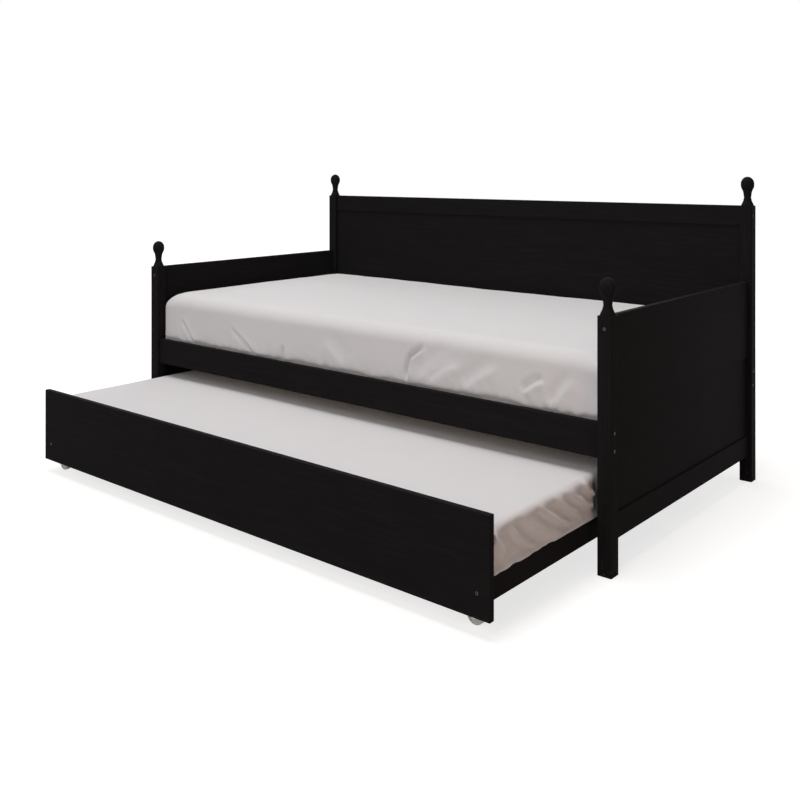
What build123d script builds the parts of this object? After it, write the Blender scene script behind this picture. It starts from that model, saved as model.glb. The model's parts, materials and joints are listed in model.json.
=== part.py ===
from build123d import *

import os
from dataclasses import dataclass, field
from math import cos, pi, sin

# Trundle bed: a daybed with a second bed on casters that rolls out from under it.
# Millimetres, +X along the bed, +Y to its back, +Z up. The origin is on the floor, in the middle of
# the whole bed with the trundle standing out in front as it does at rest.

# Mattresses, measured over their fitted sheets, and the room round them
MATTRESS_LENGTH = 1912.0
MATTRESS_DEPTH = 980.0
MATTRESS_HEIGHT = 200.0
MATTRESS_END_GAP = 2.0
MATTRESS_SIDE_GAP = 1.5
MATTRESS_SINK = 25.0
TRUNDLE_MATTRESS_HEIGHT = 120.0
TRUNDLE_MATTRESS_SHORTER = 17.0
TRUNDLE_MATTRESS_NARROWER = 20.0
TRUNDLE_MATTRESS_GAP = 3.0
MATTRESS_CORNER_RADIUS = 30.0
MATTRESS_TOP_ROUNDING = 50.0
TRUNDLE_MATTRESS_TOP_ROUNDING = 24.0
MATTRESS_BOTTOM_ROUNDING = 10.0
MATTRESS_CROWN = 4.0
MATTRESS_CROWN_REACH = 200.0
MATTRESS_DRAWN_IN = 3.0
MATTRESS_ROUNDING_STEPS = 4
SHEET_THICKNESS = 1.5
SHEET_GAP = 0.3
SHEET_TUCK = 70.0
SEAT_GAP = 0.3

# Posts, boards and panels
POST_SIDE = 42.0
POST_ROUNDING = 4.0
POST_TOP_ROUNDING = 1.5
FRONT_POST_TOP = 680.0
REAR_POST_TOP = 938.0
BOARD_THICKNESS = 18.0
BOARD_ROUNDING = 2.0
PANEL_THICKNESS = 9.0
PANEL_TONGUE = 8.0
GROOVE_CLEARANCE = 0.25
DECK_RAIL_BOTTOM = 303.0
DECK_RAIL_HEIGHT = 94.0
END_RAIL_BOTTOM = 86.0
END_RAIL_HEIGHT = 70.0
END_UPPER_BOARD_HEIGHT = 256.0
BACK_TOP_RAIL_HEIGHT = 70.0

# Slats and the ledgers that carry them
SLAT_COUNT = 12
SLAT_WIDTH = 70.0
SLAT_THICKNESS = 16.0
SLAT_ROUNDING = 2.0
SLAT_END_GAP = 3.0
SLAT_SIDE_GAP = 2.0
LEDGER_THICKNESS = 22.0
LEDGER_HEIGHT = 32.0
LEDGER_END_GAP = 50.0

# Turned finials
FINIAL_HEIGHT = 99.0
FINIAL_SETBACK = 0.5
FINIAL_FOOT_HEIGHT = 2.0
FINIAL_BEAD_RADIUS = 13.6
FINIAL_BEAD_HEIGHT = 21.0
FINIAL_BEAD_HALF = 1.5
FINIAL_BEAD_STEP = 0.8
FINIAL_NECK_RADIUS = 12.0
FINIAL_NECK_HEIGHT = 30.0
FINIAL_PEAR_RADIUS = 16.0
FINIAL_PEAR_HEIGHT = 52.0
FINIAL_BALL_RADIUS = 22.0
FINIAL_BALL_HEIGHT = 74.0

# Trundle
TRUNDLE_OUT = 477.0
TRUNDLE_POST_GAP = 8.5
TRUNDLE_BOARD_BOTTOM = 43.0
TRUNDLE_BOARD_HEIGHT = 243.0
TRUNDLE_BACK_BOTTOM = 61.0
TRUNDLE_BACK_HEIGHT = 120.0
TRUNDLE_RAIL_THICKNESS = 24.0
TRUNDLE_RAIL_HEIGHT = 60.0
TRUNDLE_RAIL_INSET = 37.0
TRUNDLE_LEDGER_DROP = 10.0
TRUNDLE_BEAM_HEIGHT = 40.0
CORNER_BLOCK_WIDTH = 40.0
CORNER_BLOCK_DEPTH = 70.0

# Casters
CASTER_HEIGHT = 71.0
CASTER_INSET_X = 58.0
CASTER_INSET_Y = 57.0
CASTER_TRAIL = 18.0
CASTER_PLATE_SIDE = 50.0
CASTER_PLATE_THICKNESS = 2.5
CASTER_PLATE_ROUNDING = 5.0
CASTER_SCREW_PITCH = 38.0
CASTER_SCREW_LENGTH = 14.0
KINGPIN_DIAMETER = 8.0
KINGPIN_HEAD_DIAMETER = 14.0
KINGPIN_HEAD_HEIGHT = 2.5
FORK_THICKNESS = 2.0
FORK_CAP_RADIUS = 17.0
FORK_LEG_TOP = 26.0
FORK_EYE_RADIUS = 8.0
FORK_CLEARANCE = 0.3
WHEEL_DIAMETER = 48.0
WHEEL_WIDTH = 18.0
WHEEL_ROUNDING = 3.0
WHEEL_RIM_WALL = 5.0
WHEEL_WEB_RECESS = 3.0
WHEEL_HUB_RADIUS = 7.0
WHEEL_HUB_PROUD = 1.0
WHEEL_SIDE_CLEARANCE = 0.5
AXLE_DIAMETER = 6.0
AXLE_HEAD_RADIUS = 5.0
AXLE_HEAD_HEIGHT = 1.5
RUNNING_FIT = 0.08
RIVET_FIT = 0.05

# Bolts, barrel nuts, dowels, studs and screws
BOLT_DIAMETER = 6.0
BOLT_HEAD_DIAMETER = 10.0
BOLT_HEAD_HEIGHT = 4.0
BOLT_HEAD_ROUNDING = 0.8
BOLT_SOCKET_ACROSS = 4.0
BOLT_SOCKET_DEPTH = 2.5
BOLT_PAST_NUT = 8.0
BOLT_CLEARANCE = 0.25
COUNTERBORE_DIAMETER = 11.5
COUNTERBORE_DEPTH = 5.0
NUT_DIAMETER = 10.0
NUT_LENGTH = 14.0
NUT_INSET = 25.0
NUT_CLEARANCE = 0.1
RAIL_BOLT_SPACING = 47.0
UPPER_BOARD_BOLT_DROP = 34.0
DOWEL_DIAMETER = 8.0
DOWEL_LENGTH = 30.0
DOWEL_CLEARANCE = 0.1
DOWEL_END_CLEARANCE = 0.5
RAIL_DOWEL_SPACING = 40.0
UPPER_BOARD_DOWEL_SPACING = 110.0
BEAM_DOWEL_SPACING = 20.0
STUD_DIAMETER = 8.0
STUD_LENGTH = 50.0
SCREW_DIAMETER = 3.5
SCREW_HEAD_DIAMETER = 7.0
SCREW_HEAD_HEIGHT = 2.5
SCREW_LENGTH = 32.0
SCREW_CLEARANCE = 0.05
LEDGER_SCREW_RISE = 9.0
CORNER_SCREW_LENGTH = 54.0
CORNER_SCREW_INSET = 52.0
CORNER_SCREW_SPACING = 26.0

# Places that follow from the sizes above
BOARD_RECESS = (POST_SIDE - BOARD_THICKNESS) / 2
HALF_BOARD = BOARD_THICKNESS / 2
INSIDE_X = MATTRESS_LENGTH / 2 + MATTRESS_END_GAP
BED_DEPTH = MATTRESS_DEPTH + 2 * (MATTRESS_SIDE_GAP + BOARD_THICKNESS + BOARD_RECESS)
POST_X = INSIDE_X + POST_SIDE / 2
FINIAL_OVERHANG = max(0.0, FINIAL_BALL_RADIUS - POST_SIDE / 2)
FRONT_FACE = (TRUNDLE_OUT - BED_DEPTH - FINIAL_OVERHANG) / 2
REAR_FACE = FRONT_FACE + BED_DEPTH
FRONT_POST_Y = FRONT_FACE + POST_SIDE / 2
REAR_POST_Y = REAR_FACE - POST_SIDE / 2
FRONT_INSIDE_Y = FRONT_FACE + POST_SIDE
REAR_INSIDE_Y = REAR_FACE - POST_SIDE
DECK_FRONT = FRONT_POST_Y + HALF_BOARD
DECK_REAR = REAR_POST_Y - HALF_BOARD
DECK_RAIL_TOP = DECK_RAIL_BOTTOM + DECK_RAIL_HEIGHT
DECK_RAIL_MIDDLE = DECK_RAIL_BOTTOM + DECK_RAIL_HEIGHT / 2
SLAT_TOP = DECK_RAIL_TOP - MATTRESS_SINK
END_RAIL_TOP = END_RAIL_BOTTOM + END_RAIL_HEIGHT
UPPER_BOARD_BOTTOM = FRONT_POST_TOP - END_UPPER_BOARD_HEIGHT
BACK_TOP_RAIL_BOTTOM = REAR_POST_TOP - BACK_TOP_RAIL_HEIGHT
BACK_TOP_RAIL_MIDDLE = REAR_POST_TOP - BACK_TOP_RAIL_HEIGHT / 2

TRUNDLE_MATTRESS_LENGTH = MATTRESS_LENGTH - TRUNDLE_MATTRESS_SHORTER
TRUNDLE_MATTRESS_DEPTH = MATTRESS_DEPTH - TRUNDLE_MATTRESS_NARROWER
TRUNDLE_HALF = INSIDE_X - TRUNDLE_POST_GAP
TRUNDLE_FRONT = FRONT_FACE - TRUNDLE_OUT
TRUNDLE_INSIDE_FRONT = TRUNDLE_FRONT + BOARD_THICKNESS
TRUNDLE_INSIDE_REAR = TRUNDLE_INSIDE_FRONT + TRUNDLE_MATTRESS_DEPTH + 2 * TRUNDLE_MATTRESS_GAP
TRUNDLE_REAR = TRUNDLE_INSIDE_REAR + BOARD_THICKNESS
TRUNDLE_MIDDLE_Y = (TRUNDLE_INSIDE_FRONT + TRUNDLE_INSIDE_REAR) / 2
TRUNDLE_RAIL_X = TRUNDLE_HALF - TRUNDLE_RAIL_INSET
TRUNDLE_RAIL_INNER = TRUNDLE_RAIL_X - TRUNDLE_RAIL_THICKNESS / 2
TRUNDLE_RAIL_TOP = CASTER_HEIGHT + TRUNDLE_RAIL_HEIGHT
TRUNDLE_RAIL_MIDDLE = CASTER_HEIGHT + TRUNDLE_RAIL_HEIGHT / 2
TRUNDLE_LEDGER_TOP = TRUNDLE_RAIL_TOP - TRUNDLE_LEDGER_DROP
TRUNDLE_SLAT_TOP = TRUNDLE_LEDGER_TOP + SLAT_THICKNESS
CORNER_BLOCK_INNER = TRUNDLE_RAIL_INNER - CORNER_BLOCK_WIDTH
CASTER_X = TRUNDLE_HALF - CASTER_INSET_X

SIDES = {"left": -1, "right": 1}
ENDS = {"front": -1, "rear": 1}
UPRIGHT = (Align.CENTER, Align.CENTER, Align.MIN)
# How far along its tangents a quarter round's two inner control points stand
QUARTER_ROUND = 0.5523
ALONG_X = Vector(1, 0, 0)
ALONG_Y = Vector(0, 1, 0)
ALONG_Z = Vector(0, 0, 1)

nodes = {}


@dataclass
class Hardware:
    """The loose hardware of one frame, and the holes that it needs in the wood."""

    bolts: list = field(default_factory=list)
    nuts: list = field(default_factory=list)
    dowels: list = field(default_factory=list)
    studs: list = field(default_factory=list)
    screws: list = field(default_factory=list)
    cutters: list = field(default_factory=list)

    def add_cutters(self, *solids):
        """Keep the solids of holes and grooves, each with the box that it lies in."""
        self.cutters += [(solid, solid.bounding_box()) for solid in solids]


daybed = Hardware()
trundle = Hardware()


# Helpers


def block(low, high, rounding=0.0, along=None):
    """A box between two corners, with its edges along one axis rounded."""
    size = [top - bottom for bottom, top in zip(low, high)]
    middle = [(top + bottom) / 2 for bottom, top in zip(low, high)]
    solid = Box(*size)
    if along:
        solid = fillet(solid.edges().filter_by(along), rounding)
    return Pos(*middle) * solid


def rod(start, direction, radius, length):
    """A round bar from a point along a direction."""
    return Plane(origin=start, z_dir=direction) * Cylinder(radius, length, align=UPRIGHT)


def boxes_meet(one, other):
    """True where two bounding boxes overlap."""
    return all(
        getattr(one.min, axis) < getattr(other.max, axis)
        and getattr(other.min, axis) < getattr(one.max, axis)
        for axis in "XYZ"
    )


def cut(solid, hardware):
    """A piece with the holes and grooves that reach into it."""
    room = solid.bounding_box()
    reaching = [cutter for cutter, box in hardware.cutters if boxes_meet(room, box)]
    return solid - reaching if reaching else solid


def group(solids):
    """Several separate solids as one node."""
    return Compound([piece for solid in solids for piece in solid.solids()])


def evenly(first, last, count):
    """Places from the first to the last at one pitch."""
    pitch = (last - first) / (count - 1)
    return [first + pitch * index for index in range(count)]


# Hardware


def add_bolt(hardware, head, direction, through, nut_opens, half_thickness):
    """A bolt through one piece into a barrel nut in the end of the next, with their holes.

    The nut's own hole opens on the face that lies half_thickness along nut_opens.
    """
    length = through - COUNTERBORE_DEPTH + NUT_INSET + BOLT_PAST_NUT
    entry = Plane(origin=head, z_dir=direction)
    cap = Cylinder(BOLT_HEAD_DIAMETER / 2, BOLT_HEAD_HEIGHT, align=UPRIGHT)
    cap = fillet(cap.edges().sort_by(Axis.Z)[0], BOLT_HEAD_ROUNDING)
    socket = extrude(RegularPolygon(BOLT_SOCKET_ACROSS / 2, 6, major_radius=False), BOLT_SOCKET_DEPTH)
    shank = Cylinder(BOLT_DIAMETER / 2, length, align=UPRIGHT)
    bolt = Pos(0, 0, COUNTERBORE_DEPTH - BOLT_HEAD_HEIGHT) * (cap - socket)
    hardware.bolts.append(entry * (bolt + Pos(0, 0, COUNTERBORE_DEPTH) * shank))

    nut_middle = head + direction * (through + NUT_INSET)
    nut_bottom = nut_middle - nut_opens * (NUT_LENGTH / 2)
    nut = rod(nut_bottom, nut_opens, NUT_DIAMETER / 2, NUT_LENGTH)
    thread_reach = NUT_DIAMETER
    thread = rod(
        nut_middle - direction * (thread_reach / 2), direction, BOLT_DIAMETER / 2 + RIVET_FIT, thread_reach
    )
    hardware.nuts.append(nut - thread)

    bore_radius = BOLT_DIAMETER / 2 + BOLT_CLEARANCE
    hardware.add_cutters(
        rod(head, direction, COUNTERBORE_DIAMETER / 2, COUNTERBORE_DEPTH),
        rod(head, direction, bore_radius, COUNTERBORE_DEPTH + length + BOLT_CLEARANCE),
        rod(nut_bottom, nut_opens, NUT_DIAMETER / 2 + NUT_CLEARANCE, NUT_LENGTH / 2 + half_thickness),
    )


def add_dowel(hardware, face_point, direction):
    """A dowel with half its length on each side of a butt joint's face."""
    start = face_point - direction * (DOWEL_LENGTH / 2)
    hardware.dowels.append(rod(start, direction, DOWEL_DIAMETER / 2, DOWEL_LENGTH))
    hole_start = start - direction * DOWEL_END_CLEARANCE
    hole_length = DOWEL_LENGTH + 2 * DOWEL_END_CLEARANCE
    hardware.add_cutters(rod(hole_start, direction, DOWEL_DIAMETER / 2 + DOWEL_CLEARANCE, hole_length))


def screw_form(length, clearance):
    """A countersunk screw along +Z from its head, or its hole with a clearance added."""
    shank = Cylinder(SCREW_DIAMETER / 2 + clearance, length + clearance, align=UPRIGHT)
    head = Cone(
        SCREW_HEAD_DIAMETER / 2 + clearance,
        SCREW_DIAMETER / 2 + clearance,
        SCREW_HEAD_HEIGHT,
        align=UPRIGHT,
    )
    return shank + head


def add_screw(hardware, head, direction, length=SCREW_LENGTH):
    """A countersunk screw, flush with the face that it goes in at."""
    entry = Plane(origin=head, z_dir=direction)
    hardware.screws.append(entry * screw_form(length, 0.0))
    hardware.add_cutters(entry * screw_form(length, SCREW_CLEARANCE))


def add_panel(low, high):
    """A thin panel let into grooves all round, which its neighbours are cut for."""
    room = GROOVE_CLEARANCE
    daybed.add_cutters(block([value - room for value in low], [value + room for value in high]))
    return block(low, high)


# Daybed frame


def plan_end_joints():
    """Bolts and dowels that hold the boards of both ends between the posts."""
    bolt_height = FRONT_POST_TOP - UPPER_BOARD_BOLT_DROP
    board_middle = (UPPER_BOARD_BOTTOM + bolt_height) / 2
    rail_middle = END_RAIL_BOTTOM + END_RAIL_HEIGHT / 2
    dowel_heights = [
        middle + sign * spacing / 2
        for middle, spacing in ((board_middle, UPPER_BOARD_DOWEL_SPACING), (rail_middle, RAIL_DOWEL_SPACING))
        for sign in (-1, 1)
    ]
    for side in SIDES.values():
        x = side * POST_X
        for face, joint, inward, bolt_heights in (
            (FRONT_FACE, FRONT_INSIDE_Y, ALONG_Y, [bolt_height]),
            (REAR_FACE, REAR_INSIDE_Y, -ALONG_Y, [bolt_height, rail_middle]),
        ):
            for height in bolt_heights:
                add_bolt(daybed, Vector(x, face, height), inward, POST_SIDE, ALONG_X * -side, HALF_BOARD)
            for height in dowel_heights:
                add_dowel(daybed, Vector(x, joint, height), inward)


def plan_rail_joints():
    """Bolts and dowels that hold the front rail, rear rail and back top rail between the posts."""
    for side in SIDES.values():
        inward = ALONG_X * -side
        for y, nut_opens in ((FRONT_POST_Y, ALONG_Y), (REAR_POST_Y, -ALONG_Y)):
            for sign in (-1, 1):
                height = DECK_RAIL_MIDDLE + sign * RAIL_BOLT_SPACING / 2
                head = Vector(side * (INSIDE_X + POST_SIDE), y, height)
                add_bolt(daybed, head, inward, POST_SIDE, nut_opens, HALF_BOARD)
            add_dowel(daybed, Vector(side * INSIDE_X, y, DECK_RAIL_MIDDLE), inward)
        head = Vector(side * (INSIDE_X + POST_SIDE), REAR_POST_Y, BACK_TOP_RAIL_MIDDLE)
        add_bolt(daybed, head, inward, POST_SIDE, ALONG_Y, HALF_BOARD)
        for sign in (-1, 1):
            height = BACK_TOP_RAIL_MIDDLE + sign * RAIL_DOWEL_SPACING / 2
            add_dowel(daybed, Vector(side * INSIDE_X, REAR_POST_Y, height), inward)


def make_panels():
    """The recessed panels of the ends and the back."""
    half = PANEL_THICKNESS / 2
    for name, side in SIDES.items():
        x = side * POST_X
        low = (x - half, FRONT_INSIDE_Y - PANEL_TONGUE, END_RAIL_TOP - PANEL_TONGUE)
        high = (x + half, REAR_INSIDE_Y + PANEL_TONGUE, UPPER_BOARD_BOTTOM + PANEL_TONGUE)
        nodes[f"{name}_lower_panel"] = add_panel(low, high)
    low = (-INSIDE_X - PANEL_TONGUE, REAR_POST_Y - half, DECK_RAIL_TOP - PANEL_TONGUE)
    high = (INSIDE_X + PANEL_TONGUE, REAR_POST_Y + half, BACK_TOP_RAIL_BOTTOM + PANEL_TONGUE)
    nodes["back_panel"] = add_panel(low, high)


def finial():
    """A turned finial standing on z = 0: coned foot, bead, neck and a pear that swells to a ball."""
    foot_radius = POST_SIDE / 2 - FINIAL_SETBACK
    step_radius = FINIAL_BEAD_RADIUS - FINIAL_BEAD_STEP
    bead_bottom = FINIAL_BEAD_HEIGHT - FINIAL_BEAD_HALF
    bead_top = FINIAL_BEAD_HEIGHT + FINIAL_BEAD_HALF
    ball_rise = FINIAL_HEIGHT - FINIAL_BALL_HEIGHT
    foot = Polyline(
        (0, 0), (foot_radius, 0), (foot_radius, FINIAL_FOOT_HEIGHT), (step_radius, bead_bottom)
    )
    bead = ThreePointArc(
        (step_radius, bead_bottom), (FINIAL_BEAD_RADIUS, FINIAL_BEAD_HEIGHT), (step_radius, bead_top)
    )
    pear = Spline(
        (step_radius, bead_top),
        (FINIAL_NECK_RADIUS, FINIAL_NECK_HEIGHT),
        (FINIAL_PEAR_RADIUS, FINIAL_PEAR_HEIGHT),
        (FINIAL_BALL_RADIUS, FINIAL_BALL_HEIGHT),
        tangents=[(-1, 1), (0, 1)],
    )
    ball_top = Bezier(
        (FINIAL_BALL_RADIUS, FINIAL_BALL_HEIGHT),
        (FINIAL_BALL_RADIUS, FINIAL_BALL_HEIGHT + QUARTER_ROUND * ball_rise),
        (FINIAL_BALL_RADIUS * QUARTER_ROUND, FINIAL_HEIGHT),
        (0, FINIAL_HEIGHT),
    )
    middle = Line((0, FINIAL_HEIGHT), (0, 0))
    outline = make_face(Plane.XZ * (Curve() + [foot, bead, pear, ball_top, middle]))
    return revolve(outline, Axis.Z)


def make_posts_and_finials():
    """Four posts with a finial and its stud on each."""
    places = {"front": (FRONT_POST_Y, FRONT_POST_TOP), "rear": (REAR_POST_Y, REAR_POST_TOP)}
    turned = finial()
    half = POST_SIDE / 2
    for end, (y, top) in places.items():
        for name, side in SIDES.items():
            x = side * POST_X
            stud_start = Vector(x, y, top - STUD_LENGTH / 2)
            daybed.studs.append(rod(stud_start, ALONG_Z, STUD_DIAMETER / 2, STUD_LENGTH))
            hole_start = stud_start - ALONG_Z * DOWEL_END_CLEARANCE
            hole_length = STUD_LENGTH + 2 * DOWEL_END_CLEARANCE
            daybed.add_cutters(rod(hole_start, ALONG_Z, STUD_DIAMETER / 2 + DOWEL_CLEARANCE, hole_length))
            post = block((x - half, y - half, 0), (x + half, y + half, top), POST_ROUNDING, Axis.Z)
            post = fillet(post.faces().sort_by(Axis.Z)[-1].edges(), POST_TOP_ROUNDING)
            nodes[f"{end}_{name}_post"] = cut(post, daybed)
            nodes[f"{end}_{name}_finial"] = cut(Pos(x, y, top) * turned, daybed)


def make_end_boards():
    """The upper board and bottom rail of each end."""
    levels = {
        "upper_board": (UPPER_BOARD_BOTTOM, FRONT_POST_TOP),
        "bottom_rail": (END_RAIL_BOTTOM, END_RAIL_TOP),
    }
    for name, side in SIDES.items():
        x = side * POST_X
        for piece, (bottom, top) in levels.items():
            low = (x - HALF_BOARD, FRONT_INSIDE_Y, bottom)
            high = (x + HALF_BOARD, REAR_INSIDE_Y, top)
            nodes[f"{name}_{piece}"] = cut(block(low, high, BOARD_ROUNDING, Axis.Y), daybed)


def make_long_rails():
    """The front rail, rear rail and back top rail."""
    levels = {
        "front_rail": (FRONT_POST_Y, DECK_RAIL_BOTTOM, DECK_RAIL_TOP),
        "rear_rail": (REAR_POST_Y, DECK_RAIL_BOTTOM, DECK_RAIL_TOP),
        "back_top_rail": (REAR_POST_Y, BACK_TOP_RAIL_BOTTOM, REAR_POST_TOP),
    }
    for name, (y, bottom, top) in levels.items():
        low = (-INSIDE_X, y - HALF_BOARD, bottom)
        high = (INSIDE_X, y + HALF_BOARD, top)
        nodes[name] = cut(block(low, high, BOARD_ROUNDING, Axis.X), daybed)


# Slat decks


def make_slat_deck(hardware, prefix, half_width, ledger_half, front, rear, top):
    """Two ledgers between front and rear, with a row of slats screwed down on them."""
    ledger_top = top - SLAT_THICKNESS
    ledger_bottom = ledger_top - LEDGER_HEIGHT
    last = half_width - SLAT_WIDTH / 2
    places = evenly(-last, last, SLAT_COUNT)
    between = [(one + other) / 2 for one, other in zip(places[::2], places[1::2])]
    ledger_blocks = {}
    for end, sign in ENDS.items():
        face = front if sign < 0 else rear
        inner = face - sign * LEDGER_THICKNESS
        middle = face - sign * LEDGER_THICKNESS / 2
        for x in between:
            add_screw(hardware, Vector(x, inner, ledger_bottom + LEDGER_SCREW_RISE), ALONG_Y * sign)
        for x in places:
            add_screw(hardware, Vector(x, middle, top), -ALONG_Z)
        low = (-ledger_half, min(face, inner), ledger_bottom)
        high = (ledger_half, max(face, inner), ledger_top)
        ledger_blocks[f"{prefix}_{end}_ledger"] = block(low, high)
    slats = []
    for x in places:
        low = (x - SLAT_WIDTH / 2, front + SLAT_END_GAP, top - SLAT_THICKNESS)
        high = (x + SLAT_WIDTH / 2, rear - SLAT_END_GAP, top)
        slats.append(cut(block(low, high, SLAT_ROUNDING, Axis.Y), hardware))
    nodes[f"{prefix}_slats"] = group(slats)
    for name, ledger in ledger_blocks.items():
        nodes[name] = cut(ledger, hardware)


# Trundle frame


def plan_trundle_joints():
    """Bolts and dowels of the trundle's boards, side rails and centre beam."""
    for side in SIDES.values():
        x = side * TRUNDLE_RAIL_X
        inward = ALONG_X * -side
        half_rail = TRUNDLE_RAIL_THICKNESS / 2
        for face, joint, into in (
            (TRUNDLE_FRONT, TRUNDLE_INSIDE_FRONT, ALONG_Y),
            (TRUNDLE_REAR, TRUNDLE_INSIDE_REAR, -ALONG_Y),
        ):
            head = Vector(x, face, TRUNDLE_RAIL_MIDDLE)
            add_bolt(trundle, head, into, BOARD_THICKNESS, inward, half_rail)
            for sign in (-1, 1):
                height = TRUNDLE_RAIL_MIDDLE + sign * RAIL_DOWEL_SPACING / 2
                add_dowel(trundle, Vector(x, joint, height), into)
        beam_middle = TRUNDLE_LEDGER_TOP - TRUNDLE_BEAM_HEIGHT / 2
        for sign in (-1, 1):
            height = beam_middle + sign * BEAM_DOWEL_SPACING / 2
            add_dowel(trundle, Vector(side * TRUNDLE_RAIL_INNER, TRUNDLE_MIDDLE_Y, height), inward)


def make_trundle_boards():
    """The trundle's front board, back board, side rails and centre beam."""
    low = (-TRUNDLE_HALF, TRUNDLE_FRONT, TRUNDLE_BOARD_BOTTOM)
    high = (TRUNDLE_HALF, TRUNDLE_INSIDE_FRONT, TRUNDLE_BOARD_BOTTOM + TRUNDLE_BOARD_HEIGHT)
    front_board = block(low, high)
    front_board = fillet(front_board.edges(), BOARD_ROUNDING)
    nodes["trundle_front_board"] = cut(front_board, trundle)

    low = (-TRUNDLE_HALF, TRUNDLE_INSIDE_REAR, TRUNDLE_BACK_BOTTOM)
    high = (TRUNDLE_HALF, TRUNDLE_REAR, TRUNDLE_BACK_BOTTOM + TRUNDLE_BACK_HEIGHT)
    back_board = block(low, high)
    back_board = fillet(back_board.edges(), BOARD_ROUNDING)
    nodes["trundle_back_board"] = cut(back_board, trundle)

    half_rail = TRUNDLE_RAIL_THICKNESS / 2
    for name, side in SIDES.items():
        x = side * TRUNDLE_RAIL_X
        low = (x - half_rail, TRUNDLE_INSIDE_FRONT, CASTER_HEIGHT)
        high = (x + half_rail, TRUNDLE_INSIDE_REAR, TRUNDLE_RAIL_TOP)
        nodes[f"trundle_{name}_rail"] = cut(block(low, high, BOARD_ROUNDING, Axis.Y), trundle)

    low = (-TRUNDLE_RAIL_INNER, TRUNDLE_MIDDLE_Y - half_rail, TRUNDLE_LEDGER_TOP - TRUNDLE_BEAM_HEIGHT)
    high = (TRUNDLE_RAIL_INNER, TRUNDLE_MIDDLE_Y + half_rail, TRUNDLE_LEDGER_TOP)
    nodes["trundle_centre_beam"] = cut(block(low, high, BOARD_ROUNDING, Axis.X), trundle)


def make_corner_blocks():
    """A block in each inner corner of the trundle, screwed to its side rail, over each caster."""
    blocks = []
    middle = (CASTER_HEIGHT + TRUNDLE_LEDGER_TOP) / 2
    for side in SIDES.values():
        near = side * CORNER_BLOCK_INNER
        far = side * TRUNDLE_RAIL_INNER
        for sign in ENDS.values():
            face = TRUNDLE_INSIDE_FRONT if sign < 0 else TRUNDLE_INSIDE_REAR
            back = face - sign * CORNER_BLOCK_DEPTH
            screw_y = face - sign * CORNER_SCREW_INSET
            for step in (-1, 1):
                head = Vector(near, screw_y, middle + step * CORNER_SCREW_SPACING / 2)
                add_screw(trundle, head, ALONG_X * side, CORNER_SCREW_LENGTH)
            low = (min(near, far), min(face, back), CASTER_HEIGHT)
            high = (max(near, far), max(face, back), TRUNDLE_LEDGER_TOP)
            blocks.append(block(low, high))
    return blocks


# Casters


def caster_plate():
    """Top plate with its riveted kingpin, on a swivel axis at the origin."""
    bottom = CASTER_HEIGHT - CASTER_PLATE_THICKNESS
    plate = Box(CASTER_PLATE_SIDE, CASTER_PLATE_SIDE, CASTER_PLATE_THICKNESS, align=UPRIGHT)
    plate = Pos(0, 0, bottom) * fillet(plate.edges().filter_by(Axis.Z), CASTER_PLATE_ROUNDING)
    pin_length = FORK_THICKNESS + 2 * FORK_CLEARANCE
    head_top = bottom - pin_length
    pin = Pos(0, 0, head_top) * Cylinder(KINGPIN_DIAMETER / 2, pin_length, align=UPRIGHT)
    head = Cylinder(KINGPIN_HEAD_DIAMETER / 2, KINGPIN_HEAD_HEIGHT, align=UPRIGHT)
    return plate + pin + Pos(0, 0, head_top - KINGPIN_HEAD_HEIGHT) * head


def caster_screw_places():
    """The four screw places of a plate, about its swivel axis."""
    half = CASTER_SCREW_PITCH / 2
    return [(x, y) for x in (-half, half) for y in (-half, half)]


def fork_half_width():
    """Half the outside width of a fork."""
    return WHEEL_WIDTH / 2 + WHEEL_HUB_PROUD + WHEEL_SIDE_CLEARANCE + FORK_THICKNESS


def caster_fork():
    """A pressed fork that hangs from the kingpin and trails its wheel to -X."""
    cap_top = CASTER_HEIGHT - CASTER_PLATE_THICKNESS - FORK_CLEARANCE
    axle_height = WHEEL_DIAMETER / 2
    half_width = fork_half_width()
    cap = Pos(0, 0, cap_top - FORK_THICKNESS) * Cylinder(FORK_CAP_RADIUS, FORK_THICKNESS, align=UPRIGHT)
    strip = Box(FORK_LEG_TOP, 2 * half_width, FORK_THICKNESS, align=UPRIGHT)
    cap += Pos(0, 0, cap_top - FORK_THICKNESS) * strip
    leg_top = Line((-FORK_LEG_TOP / 2, cap_top), (FORK_LEG_TOP / 2, cap_top))
    eye = Pos(-CASTER_TRAIL, axle_height) * Circle(FORK_EYE_RADIUS)
    leg_face = make_hull(eye.edges() + leg_top.edges())
    leg = extrude(Plane.XZ * leg_face, FORK_THICKNESS)
    cap += Pos(0, half_width, 0) * leg
    cap += Pos(0, FORK_THICKNESS - half_width, 0) * leg
    kingpin_hole = Cylinder(KINGPIN_DIAMETER / 2 + RUNNING_FIT, 2 * CASTER_HEIGHT)
    axle_hole = rod(
        (-CASTER_TRAIL, -2 * half_width, axle_height), ALONG_Y, AXLE_DIAMETER / 2 + RIVET_FIT, 4 * half_width
    )
    return cap - kingpin_hole - axle_hole


def caster_axle():
    """A rivet through both legs of a fork."""
    half_width = fork_half_width()
    start = Vector(-CASTER_TRAIL, -half_width, WHEEL_DIAMETER / 2)
    shank = rod(start, ALONG_Y, AXLE_DIAMETER / 2, 2 * half_width)
    far_head = rod(start + ALONG_Y * (2 * half_width), ALONG_Y, AXLE_HEAD_RADIUS, AXLE_HEAD_HEIGHT)
    near_head = rod(start, -ALONG_Y, AXLE_HEAD_RADIUS, AXLE_HEAD_HEIGHT)
    return shank + far_head + near_head


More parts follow.
